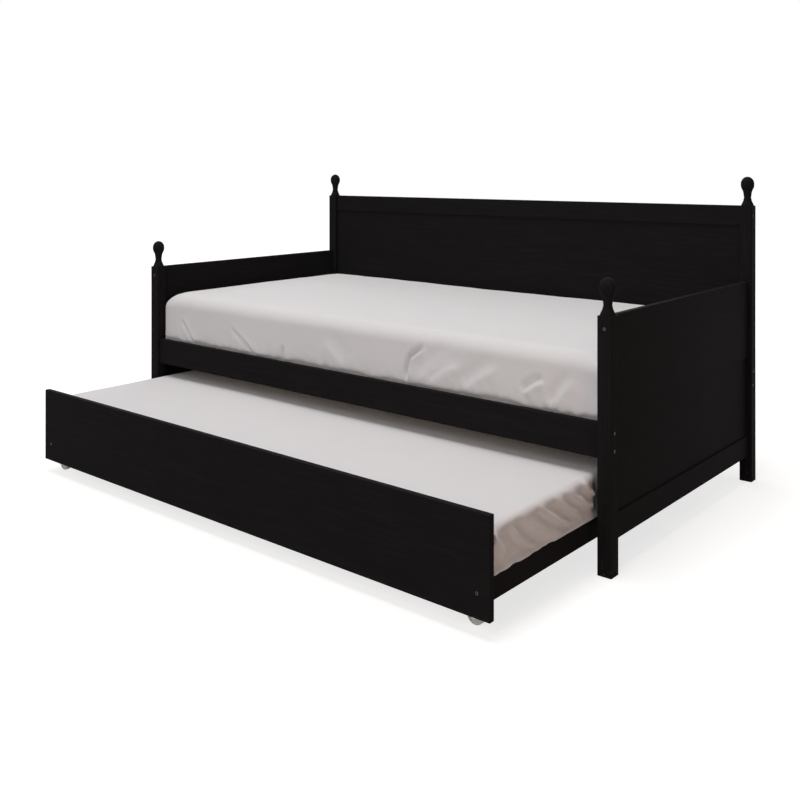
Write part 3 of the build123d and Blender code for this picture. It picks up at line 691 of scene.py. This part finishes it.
def trundle_creases():
    """Gathered folds that lean back down each end of the trundle mattress."""
    folds = (
        (((-0.742, 0.250), (-0.724, 0.216), (-0.678, 0.168)), SOFT_FOLD),
        (((-0.670, 0.247), (-0.634, 0.203), (-0.590, 0.172), (-0.530, 0.148)), THIN_FOLD),
        (((-0.635, 0.253), (-0.560, 0.200), (-0.490, 0.168), (-0.405, 0.147)), BROAD_FOLD),
        (((-0.556, 0.256), (-0.500, 0.216), (-0.440, 0.183), (-0.362, 0.155)), THIN_FOLD),
        (((-0.472, 0.252), (-0.430, 0.222), (-0.385, 0.199), (-0.325, 0.178)), SOFT_FOLD),
        (((-0.430, 0.255), (-0.370, 0.224), (-0.315, 0.195), (-0.245, 0.165)), SOFT_FOLD),
        (((-0.334, 0.252), (-0.300, 0.224), (-0.255, 0.195)), THIN_FOLD),
    )
    creases = [Crease("right", path, *form) for path, form in folds]
    low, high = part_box("trundle_sheet")
    for side, first in (("right", RIGHT_START), ("left", low.y + LEFT_INSET)):
        along = first
        while along < high.y - BACK_CLEAR:
            sway = noise.noise(Vector((along * SWAY_SCALE, first, SWAY_ROW)))
            reach = swayed(FOLD_REACH, sway)
            start = (along, high.z - swayed(FOLD_DROP, abs(sway)))
            bend = (along + BEND_SHARE * reach, low.z + swayed(BEND_HEIGHT, sway))
            foot = (along + reach, low.z + swayed(FOOT_HEIGHT, abs(sway)))
            form = SOFT_FOLD if sway > 0 else THIN_FOLD
            creases.append(Crease(side, (start, bend, foot), *form))
            along += swayed(FOLD_STEP, sway)
    return creases


def stations(half, corner, step, fine):
    """Places from end to end of a mattress's flat top, closer at its corners and over a fine run."""
    inner = half - corner
    middle = [-inner]
    fine_start, fine_end = fine
    while middle[-1] < inner - step:
        near = fine_start < middle[-1] < fine_end
        middle.append(middle[-1] + (FINE_STEP if near else step))
    middle.append(inner)
    edge = [inner + corner * (index + 1) / CORNER_COLUMNS for index in range(CORNER_COLUMNS)]
    return [-place for place in reversed(edge)] + middle + edge


class SectionRow(NamedTuple):
    """A row of the cloth: inset from the outline, height, outward and upward normal, and length so far."""

    inset: float
    height: float
    normal: tuple
    length: float


def section_rows(height, edge, lower, tuck, step):
    """The cloth's section from the flat top over the edge, down the side and in underneath."""
    rows = []
    for index in range(EDGE_ROWS + 1):
        turn = pi / 2 * index / EDGE_ROWS
        inset = edge * (1 - sin(turn))
        level = height - edge * (1 - cos(turn))
        rows.append(SectionRow(inset, level, (sin(turn), cos(turn)), edge * turn))
    straight = height - edge - lower
    count = round(straight / step)
    down = edge * pi / 2
    for index in range(1, count + 1):
        drop = straight * index / count
        rows.append(SectionRow(0.0, height - edge - drop, (1.0, 0.0), down + drop))
    down += straight
    for index in range(1, LOWER_ROWS + 1):
        turn = pi / 2 * index / LOWER_ROWS
        inset = lower * (1 - cos(turn))
        level = lower * (1 - sin(turn))
        rows.append(SectionRow(inset, level, (cos(turn), -sin(turn)), down + lower * turn))
    down += lower * pi / 2
    for index in range(1, TUCK_ROWS + 1):
        reach = tuck * index / TUCK_ROWS
        rows.append(SectionRow(lower + reach, 0.0, (0.0, -1.0), down + reach))
    return rows


class FittedSheet:
    """The cloth of one fitted sheet: a flat top, its columns round the outline and its rows down them."""

    def __init__(self, bed, bedding):
        low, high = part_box(f"{bed.name}_sheet")
        self.bed = bed
        self.low = low
        self.middle = (low + high) / 2
        self.half = (high - low) / 2
        self.height = high.z - low.z - bedding.crown
        self.bedding = bedding
        self.edge = getattr(bedding, f"{bed.name}_edge")
        self.droop = getattr(bedding, f"{bed.name}_droop")
        self.rows = section_rows(self.height, self.edge, bedding.lower_edge, bedding.tuck, bed.row_step)
        self.points = []
        self.outward = []
        self.sides = []
        self.faces = []
        self.flat = []
        self.lay_top()
        self.lay_sides()

    def lay_top(self):
        """The flat top, with its corners turned round, and the ring of its outer points."""
        turn = self.bedding.corner
        half_x = self.half.x - self.edge
        half_y = self.half.y - self.edge
        columns = stations(half_x, turn, self.bed.column_steps[X_AXIS], self.bed.fine_columns)
        ranks = stations(half_y, turn, self.bed.column_steps[Y_AXIS], NO_RUN)
        for y in ranks:
            for x in columns:
                over_x = abs(x) - (half_x - turn)
                over_y = abs(y) - (half_y - turn)
                place = Vector((x, y, self.height))
                if over_x > 0 and over_y > 0:
                    out = Vector((over_x, over_y)).normalized() * max(over_x, over_y)
                    place.x = (half_x - turn + out.x) * (1 if x > 0 else -1)
                    place.y = (half_y - turn + out.y) * (1 if y > 0 else -1)
                self.add_point(place, Vector((0.0, 0.0, 1.0)), "top")
        wide = len(columns)
        deep = len(ranks)
        for rank in range(deep - 1):
            for column in range(wide - 1):
                first = rank * wide + column
                corners = (first, first + 1, first + wide + 1, first + wide)
                self.faces.append(corners)
                self.flat.append([(self.points[corner].x, self.points[corner].y) for corner in corners])
        last = (deep - 1) * wide
        self.ring = [(index, "front") for index in range(wide - 1)]
        self.ring += [(rank * wide + wide - 1, "right") for rank in range(deep - 1)]
        self.ring += [(last + wide - 1 - index, "back") for index in range(wide - 1)]
        self.ring += [((deep - 1 - rank) * wide, "left") for rank in range(deep - 1)]

    def add_point(self, place, outward, side):
        """One point of the cloth, the way it faces and the side that it is on."""
        self.points.append(place)
        self.outward.append(outward)
        self.sides.append(side)
        return len(self.points) - 1

    def column(self, place):
        """A column's share of the straight sides, and its outward way, from its point on the flat top."""
        inner_x = self.half.x - self.edge - self.bedding.corner
        inner_y = self.half.y - self.edge - self.bedding.corner
        held = Vector((max(-inner_x, min(inner_x, place.x)), max(-inner_y, min(inner_y, place.y)), 0.0))
        way = Vector((place.x - held.x, place.y - held.y, 0.0)).normalized()
        return held.x / inner_x, held.y / inner_y, way

    def lay_sides(self):
        """The columns from the flat top's outline down the sides and in underneath."""
        levels = [[index for index, _ in self.ring]]
        columns = [self.column(self.points[index]) for index, _ in self.ring]
        corner = self.bedding.corner
        for inset, height, (out, up), _ in self.rows[1:]:
            reach_x = self.half.x - inset - corner
            reach_y = self.half.y - inset - corner
            level = []
            for (_, side), (share_x, share_y, way) in zip(self.ring, columns):
                place = Vector((share_x * reach_x, share_y * reach_y, height)) + way * corner
                level.append(self.add_point(place, way * out + Vector((0.0, 0.0, up)), side))
            levels.append(level)
        around = [0.0]
        count = len(self.ring)
        waist = levels[EDGE_ROWS]
        for column in range(count):
            step = self.points[waist[(column + 1) % count]] - self.points[waist[column]]
            around.append(around[-1] + step.length)
        for row in range(len(levels) - 1):
            above = levels[row]
            below = levels[row + 1]
            top = self.rows[row].length
            bottom = self.rows[row + 1].length
            for column in range(count):
                after = (column + 1) % count
                self.faces.append((above[column], below[column], below[after], above[after]))
                start = around[column]
                end = around[column + 1]
                self.flat.append([(start, top), (start, bottom), (end, bottom), (end, top)])

    def shaped(self):
        """The points in the bed's frame: crowned, drawn in, pulled down at the corners and folded."""
        places = np.array([tuple(point) for point in self.points])
        outward = np.array([tuple(way) for way in self.outward])
        sides = np.array(self.sides)
        x, y, z = places.T
        across = np.clip(1.0 - (x / self.half.x) ** 2, 0.0, 1.0)
        deep = np.clip(1.0 - (y / self.half.y) ** 2, 0.0, 1.0)
        raised = np.clip(z / self.height, 0.0, 1.0) ** 2
        gaps = np.hypot(self.half.x - np.abs(x), self.half.y - np.abs(y))
        droop = self.droop * np.where(y < 0, 1.0, REAR_DROOP_SHARE)
        z += raised * self.bedding.crown * (across * deep) ** CROWN_POWER
        if self.bed is UPPER:
            z += raised * self.bedding.upper_rise * np.clip(-x / self.half.x, 0.0, 1.0)
        z -= raised * droop * (1.0 - smooth(gaps, 0.0, DROOP_REACH))
        x *= 1.0 - self.bedding.drawn / self.half.x * deep
        y *= 1.0 - self.bedding.drawn / self.half.y * across
        places += np.array([self.middle.x, self.middle.y, self.low.z])
        lift = self.folds(places, sides)
        under = outward[:, Z_AXIS] < UNDERSIDE
        lift[under] = np.minimum(lift[under], 0.0)
        return places + outward * lift[:, None]

    def folds(self, places, sides):
        """How far the cloth's unevenness, its folds and the groove over the rail lift each point."""
        lift = np.array([self.ripple(Vector(place), side) for place, side in zip(places, sides)])
        creases = upper_creases() if self.bed is UPPER else trundle_creases()
        for crease in creases:
            chosen = sides == crease.side
            along = places[chosen, X_AXIS if crease.side == "front" else Y_AXIS]
            lift[chosen] += crease_lift(crease, along, places[chosen, Z_AXIS])
        if self.bed is TRUNDLE:
            height = places[:, Z_AXIS] - self.low.z
            hanging = smooth(height, 0.0, SLACK_FOOT) * (1.0 - smooth(height, SLACK_TOP, self.height))
            lift -= np.where(np.isin(sides, END_SIDES), END_SLACK * hanging, 0.0)
        long_sides = np.isin(sides, LONG_SIDES)
        room = np.where(long_sides, self.bed.side_room, self.bed.end_room)
        lift = np.minimum(lift, np.where(sides == "top", TOP_ROOM, room))
        if self.bed is UPPER:
            rail_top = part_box("front_rail")[1].z
            gather = np.array([self.gather(Vector(place)) for place in places])
            groove_top = rail_top + GROOVE_RISE * gather
            behind = 1.0 - smooth(places[:, Z_AXIS], rail_top - GROOVE_DROP, groove_top)
            lift = np.where(long_sides, (1.0 - behind) * lift - behind * GROOVE_DEPTH, lift)
        return lift

    def ripple(self, place, side):
        """The small unevenness of cloth that lies flat on top and is pulled down at the sides."""
        slow = noise.noise(place * SLOW_SCALE)
        if side == "top":
            return SLOW_TOP_LIFT * slow
        pull = noise.noise(place * PULL_SCALE)
        lean = Vector((place.z * PUCKER_LEAN, 0.0, 0.0))
        pucker = abs(noise.noise(place * PUCKER_SCALE + lean))
        near_foot = max(0.0, 1.0 - (place.z - self.low.z) / PUCKER_HEIGHT)
        return SLOW_LIFT * slow + PULL_LIFT * pull + PUCKER_LIFT * near_foot * (PUCKER_MIDDLE - pucker)

    def gather(self, place):
        """The share of the groove's full height at a place, as the hem gathers the cloth unevenly."""
        share = GATHER_MIDDLE
        for scale, row, weight in (LONG_GATHER, SHORT_GATHER):
            share += weight * noise.noise(Vector((place.x * scale, row, place.y)))
        return min(1.0, max(GATHER_LEAST, share))


def make_object(name, points, faces):
    """A new mesh object in the scene, made the active one."""
    mesh = bpy.data.meshes.new(name)
    mesh.from_pydata([tuple(point) for point in points], [], faces)
    mesh.update()
    piece = bpy.data.objects.new(name, mesh)
    bpy.context.scene.collection.objects.link(piece)
    make_active(piece)
    return piece


def make_active(piece):
    """Select one object and nothing else."""
    bpy.ops.object.select_all(action="DESELECT")
    piece.select_set(True)
    bpy.context.view_layer.objects.active = piece


def apply_modifier(piece, modifier):
    """Apply a modifier to the active piece."""
    make_active(piece)
    bpy.ops.object.modifier_apply(modifier=modifier.name)


def select_edges(piece, wanted):
    """In edit mode, select the edges whose two ends pass a test."""
    bpy.ops.mesh.select_all(action="DESELECT")
    bpy.ops.object.mode_set(mode="OBJECT")
    vertices = piece.data.vertices
    for edge in piece.data.edges:
        edge.select = wanted(*(vertices[index].co for index in edge.vertices))
    bpy.ops.object.mode_set(mode="EDIT")


def mattress_blank(name, low, high, corner, edge):
    """A block with rounded upright corners and edges, at its place, ready to be filled."""
    bpy.ops.object.select_all(action="DESELECT")
    bpy.ops.mesh.primitive_cube_add(size=1.0, location=(low + high) / 2, scale=high - low)
    piece = bpy.context.active_object
    piece.name = name
    bpy.ops.object.transform_apply(location=True, rotation=True, scale=True)
    bpy.ops.object.mode_set(mode="EDIT")
    bpy.ops.mesh.select_mode(type="EDGE")
    select_edges(piece, lambda one, other: abs(one.z - other.z) > (high.z - low.z) / 2)
    bpy.ops.mesh.bevel(offset=corner, segments=PAD_CORNER_CUTS)
    middle = (low.z + high.z) / 2
    select_edges(piece, lambda one, other: one.z > middle and other.z > middle)
    bpy.ops.mesh.bevel(offset=edge, segments=PAD_EDGE_CUTS)
    bpy.ops.object.mode_set(mode="OBJECT")
    return piece


def fill(piece, most):
    """Swell a closed piece by the pressure of its filling, no point further than most."""
    piece.data.remesh_voxel_size = PAD_VOXEL
    make_active(piece)
    bpy.ops.object.voxel_remesh()
    before = np.array([vertex.co for vertex in piece.data.vertices])
    cloth = piece.modifiers.new("Filling", "CLOTH")
    cloth.settings.use_pressure = True
    cloth.settings.uniform_pressure_force = PAD_PRESSURE
    cloth.settings.effector_weights.gravity = 0.0
    cloth.point_cache.frame_end = PAD_FRAMES
    for number in range(1, PAD_FRAMES + 1):
        bpy.context.scene.frame_set(number)
    apply_modifier(piece, cloth)
    bpy.context.scene.frame_set(1)
    after = np.array([vertex.co for vertex in piece.data.vertices])
    move = after - before
    reach = np.linalg.norm(move, axis=1, keepdims=True)
    held = before + move * np.minimum(1.0, most / np.maximum(reach, LEAST_MOVE))
    piece.data.vertices.foreach_set("co", held.ravel())
    piece.data.update()


def make_mattress(bed, bedding, material):
    """One mattress, filled tight, lying on its deck inside the sheet's turned-in hem."""
    low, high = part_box(f"{bed.name}_mattress")
    edge = getattr(bedding, f"{bed.name}_edge") + PAD_EDGE_EXTRA
    piece = mattress_blank(f"{bed.name}_mattress_pad", low + PAD_ROOM, high - PAD_ROOM, PAD_CORNER, edge)
    fill(piece, bedding.filling)
    settle(piece, low.z, bedding.tuck)
    bpy.ops.object.shade_smooth()
    add_flat_map(piece)
    piece.data.materials.append(material)
    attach(piece, bed.body)
    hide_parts(f"{bed.name}_mattress")


def settle(piece, floor, tuck):
    """Let the underside down on to the deck, inside the sheet's turned-in hem."""
    low = Vector(piece.bound_box[LOW_CORNER])
    high = Vector(piece.bound_box[HIGH_CORNER])
    reach_x = high.x - tuck
    reach_y = (high.y - low.y) / 2 - tuck
    middle_y = (high.y + low.y) / 2
    for vertex in piece.data.vertices:
        inside = min(reach_x - abs(vertex.co.x), reach_y - abs(vertex.co.y - middle_y))
        if vertex.co.z < low.z + PAD_VOXEL / 2:
            share = float(smooth(inside, 0.0, PAD_SETTLE))
            vertex.co.z += share * (floor - vertex.co.z)
    piece.data.update()


def add_flat_map(piece):
    """A flat map in metres for a weave: each face lies on the plane that it faces most."""
    layer = piece.data.uv_layers.new(name="cloth")
    for face in piece.data.polygons:
        size = [abs(part) for part in face.normal]
        drop = size.index(max(size))
        first, second = [axis for axis in (X_AXIS, Y_AXIS, Z_AXIS) if axis != drop]
        for loop in face.loop_indices:
            place = piece.data.vertices[piece.data.loops[loop].vertex_index].co
            layer.data[loop].uv = (place[first], place[second])


def make_sheet(bed, bedding, material):
    """One fitted sheet, pulled over its mattress and tucked in underneath."""
    form = FittedSheet(bed, bedding)
    piece = make_object(f"{bed.name}_fitted_sheet", form.shaped(), form.faces)
    layer = piece.data.uv_layers.new(name="cloth")
    layer.data.foreach_set("uv", np.array(form.flat).ravel())
    thickness = piece.modifiers.new("Cloth", "SOLIDIFY")
    thickness.thickness = bedding.cloth
    thickness.offset = -1.0
    apply_modifier(piece, thickness)
    bpy.ops.object.shade_smooth()
    piece.data.materials.append(material)
    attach(piece, bed.body)
    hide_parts(f"{bed.name}_sheet")


# Stage

FLOOR_SIZE = 30.0
NEAR_FLOOR = 1.2
FAR_FLOOR = 3.6
BOX_SIZE = 4.5
OVERHEAD_PLACE = (-0.3, -0.75, 9.0)
FRONT_PLACE = (0.5, -5.0, 2.9)
REAR_PLACE = (-3.0, 4.2, 2.4)
SIDE_PLACE = (2.6, -1.1, 0.32)
SIDE_SIZE = 0.5
WHITE = (1.0, 1.0, 1.0)
AIM = (0.0, 0.0, 0.45)


def seen_share(finish):
    """One for the rays that show the background: straight ones, reflections and those through glass."""
    path = finish.node("LightPath", output="Is Camera Ray")
    glossy = finish.node("LightPath", output="Is Glossy Ray")
    through = finish.node("LightPath", output="Is Transmission Ray")
    return finish.clamped(path + glossy + through)


def light_world(stage):
    """Even light from all round, and plain white where the camera sees past the bed."""
    world = bpy.data.worlds.new("Studio")
    bpy.context.scene.world = world
    finish = Finish(world)
    strength = stage.sky + (1.0 - stage.sky) * seen_share(finish)
    shader = finish.node("Background", None, {"Color": WHITE, "Strength": strength})
    finish.node("OutputWorld", None, {"Surface": shader})


def add_softbox(name, place, power, size=BOX_SIZE, tint=WHITE):
    """A square lamp that points at the bed."""
    lamp = bpy.data.lights.new(name, "AREA")
    lamp.energy = power
    lamp.size = size
    lamp.color = tint
    holder = bpy.data.objects.new(name, lamp)
    bpy.context.scene.collection.objects.link(holder)
    holder.location = place
    holder.rotation_euler = (Vector(AIM) - Vector(place)).to_track_quat("-Z", "Y").to_euler()


def add_floor(stage):
    """A pale floor that keeps the bed's shadow and is white away from it."""
    bpy.ops.object.select_all(action="DESELECT")
    bpy.ops.mesh.primitive_plane_add(size=FLOOR_SIZE, location=(0.0, 0.0, 0.0))
    floor = bpy.context.active_object
    floor.name = "studio_floor"
    finish = new_finish("studio_floor")
    place = finish.place()
    mottle = finish.cloud(place, scale=3.0, detail=3.0)
    pale = tuple(stage.floor)
    colour = finish.blend(mottle, tinted(pale, factor=0.99), pale)
    diffuse = finish.node("BsdfDiffuse", None, {"Color": colour})
    away = finish.node("VectorMath", {"operation": "LENGTH"}, {0: place}, "Value")
    white = finish.blend(finish.rise(away, NEAR_FLOOR, FAR_FLOOR), tuple(stage.floor_glow), WHITE)
    glow = finish.node("Emission", None, {"Color": white, "Strength": seen_share(finish)})
    both = finish.node("AddShader", None, {0: diffuse, 1: glow})
    finish.node("OutputMaterial", None, {"Surface": both})
    floor.data.materials.append(finish.owner)


def add_camera(stage):
    """A level camera whose lens is shifted down, as the photograph's was."""
    camera = bpy.data.cameras.new("Camera")
    camera.lens = stage.camera_lens
    camera.shift_y = stage.camera_shift
    holder = bpy.data.objects.new("Camera", camera)
    bpy.context.scene.collection.objects.link(holder)
    holder.location = stage.camera_place
    holder.rotation_euler = (pi / 2, 0.0, stage.camera_turn)
    bpy.context.scene.camera = holder


# Operators


class BED_OT_paint_frame(bpy.types.Operator):
    """Give posts, boards, rails, panels and finials their black satin paint"""

    bl_idname = "daybed.paint_frame"
    bl_label = "Paint the frame"

    def execute(self, context):
        finish_wood("black_paint", satin_paint, context.scene.daybed_finish)
        return {"FINISHED"}


class BED_OT_finish_pine(bpy.types.Operator):
    """Give slats, ledgers, blocks, beam and dowels their bare pine"""

    bl_idname = "daybed.finish_pine"
    bl_label = "Finish the pine"

    def execute(self, context):
        finish_wood("bare_pine", bare_pine, context.scene.daybed_finish)
        return {"FINISHED"}


class BED_OT_finish_hardware(bpy.types.Operator):
    """Give bolts, nuts, screws, studs and casters their metal and nylon"""

    bl_idname = "daybed.finish_hardware"
    bl_label = "Finish the hardware"

    def execute(self, context):
        settings = context.scene.daybed_finish
        finishes = {
            "dark_steel": plated_steel("dark_steel", tuple(settings.dark_steel), roughness=0.36, wear=0.5),
            "zinc_steel": plated_steel("zinc_steel", tuple(settings.zinc), roughness=0.3, wear=0.3),
            "caster_nylon": moulded_nylon("caster_nylon", tuple(settings.nylon)),
        }
        for slot, material in finishes.items():
            for node in nodes_of(slot):
                give(node, material)
        black = tuple(settings.black_steel)
        blackened = plated_steel("blackened_steel", black, roughness=0.6, wear=0.05)
        for node in nodes_of("dark_steel"):
            if node.endswith("_nuts"):
                give(node, blackened)
        return {"FINISHED"}


class BED_OT_make_mattresses(bpy.types.Operator):
    """Fill the two mattresses"""

    bl_idname = "daybed.make_mattresses"
    bl_label = "Make the mattresses"

    def execute(self, context):
        colour = tuple(context.scene.daybed_finish.ticking)
        material = woven_cloth("mattress_ticking", colour, thread=0.0024, slub_share=0.3, strength=0.5)
        for bed in BEDS:
            make_mattress(bed, context.scene.daybed_bedding, material)
        return {"FINISHED"}


class BED_OT_make_sheets(bpy.types.Operator):
    """Pull a fitted sheet over each mattress"""

    bl_idname = "daybed.make_sheets"
    bl_label = "Make the sheets"

    def execute(self, context):
        colour = tuple(context.scene.daybed_finish.cotton)
        material = woven_cloth("sheet_cotton", colour, thread=0.0013, slub_share=0.25, strength=0.35)
        for bed in BEDS:
            make_sheet(bed, context.scene.daybed_bedding, material)
        return {"FINISHED"}


class BED_OT_set_stage(bpy.types.Operator):
    """Set the floor, lamps and camera"""

    bl_idname = "daybed.set_stage"
    bl_label = "Set the stage"

    def execute(self, context):
        stage = context.scene.daybed_stage
        context.scene.view_settings.view_transform = "Standard"
        light_world(stage)
        add_softbox("Overhead", OVERHEAD_PLACE, stage.overhead)
        add_softbox("Front", FRONT_PLACE, stage.front)
        add_softbox("Rear", REAR_PLACE, stage.rear)
        add_softbox("Side", SIDE_PLACE, stage.side, SIDE_SIZE, stage.side_tint)
        add_floor(stage)
        add_camera(stage)
        return {"FINISHED"}


SETTINGS = {
    "daybed_finish": FinishSettings,
    "daybed_bedding": BeddingSettings,
    "daybed_stage": StageSettings,
}
OPERATORS = (
    BED_OT_paint_frame,
    BED_OT_finish_pine,
    BED_OT_finish_hardware,
    BED_OT_make_mattresses,
    BED_OT_make_sheets,
    BED_OT_set_stage,
)


class BED_PT_panel(bpy.types.Panel):
    """The steps that finish the bed, in order"""

    bl_idname = "BED_PT_panel"
    bl_label = "Daybed"
    bl_space_type = "VIEW_3D"
    bl_region_type = "UI"
    bl_category = "Daybed"

    def draw(self, context):
        for name, group in SETTINGS.items():
            box = self.layout.box()
            for setting in group.__annotations__:
                box.prop(getattr(context.scene, name), setting)
        for operator in OPERATORS:
            self.layout.operator(operator.bl_idname)


def register():
    """Register the settings, the operators and the panel."""
    for name, group in SETTINGS.items():
        bpy.utils.register_class(group)
        setattr(bpy.types.Scene, name, bpy.props.PointerProperty(type=group))
    for operator in OPERATORS:
        bpy.utils.register_class(operator)
    bpy.utils.register_class(BED_PT_panel)


def unregister():
    """Take the panel, the operators and the settings away again."""
    bpy.utils.unregister_class(BED_PT_panel)
    for operator in reversed(OPERATORS):
        bpy.utils.unregister_class(operator)
    for name, group in SETTINGS.items():
        delattr(bpy.types.Scene, name)
        bpy.utils.unregister_class(group)


def main():
    """Finish the bed step by step."""
    register()
    bpy.ops.object.select_all(action="DESELECT")
    bpy.ops.daybed.paint_frame()
    bpy.ops.daybed.finish_pine()
    bpy.ops.daybed.finish_hardware()
    bpy.ops.daybed.make_mattresses()
    bpy.ops.daybed.make_sheets()
    bpy.ops.daybed.set_stage()


if __name__ == "__main__":
    main()
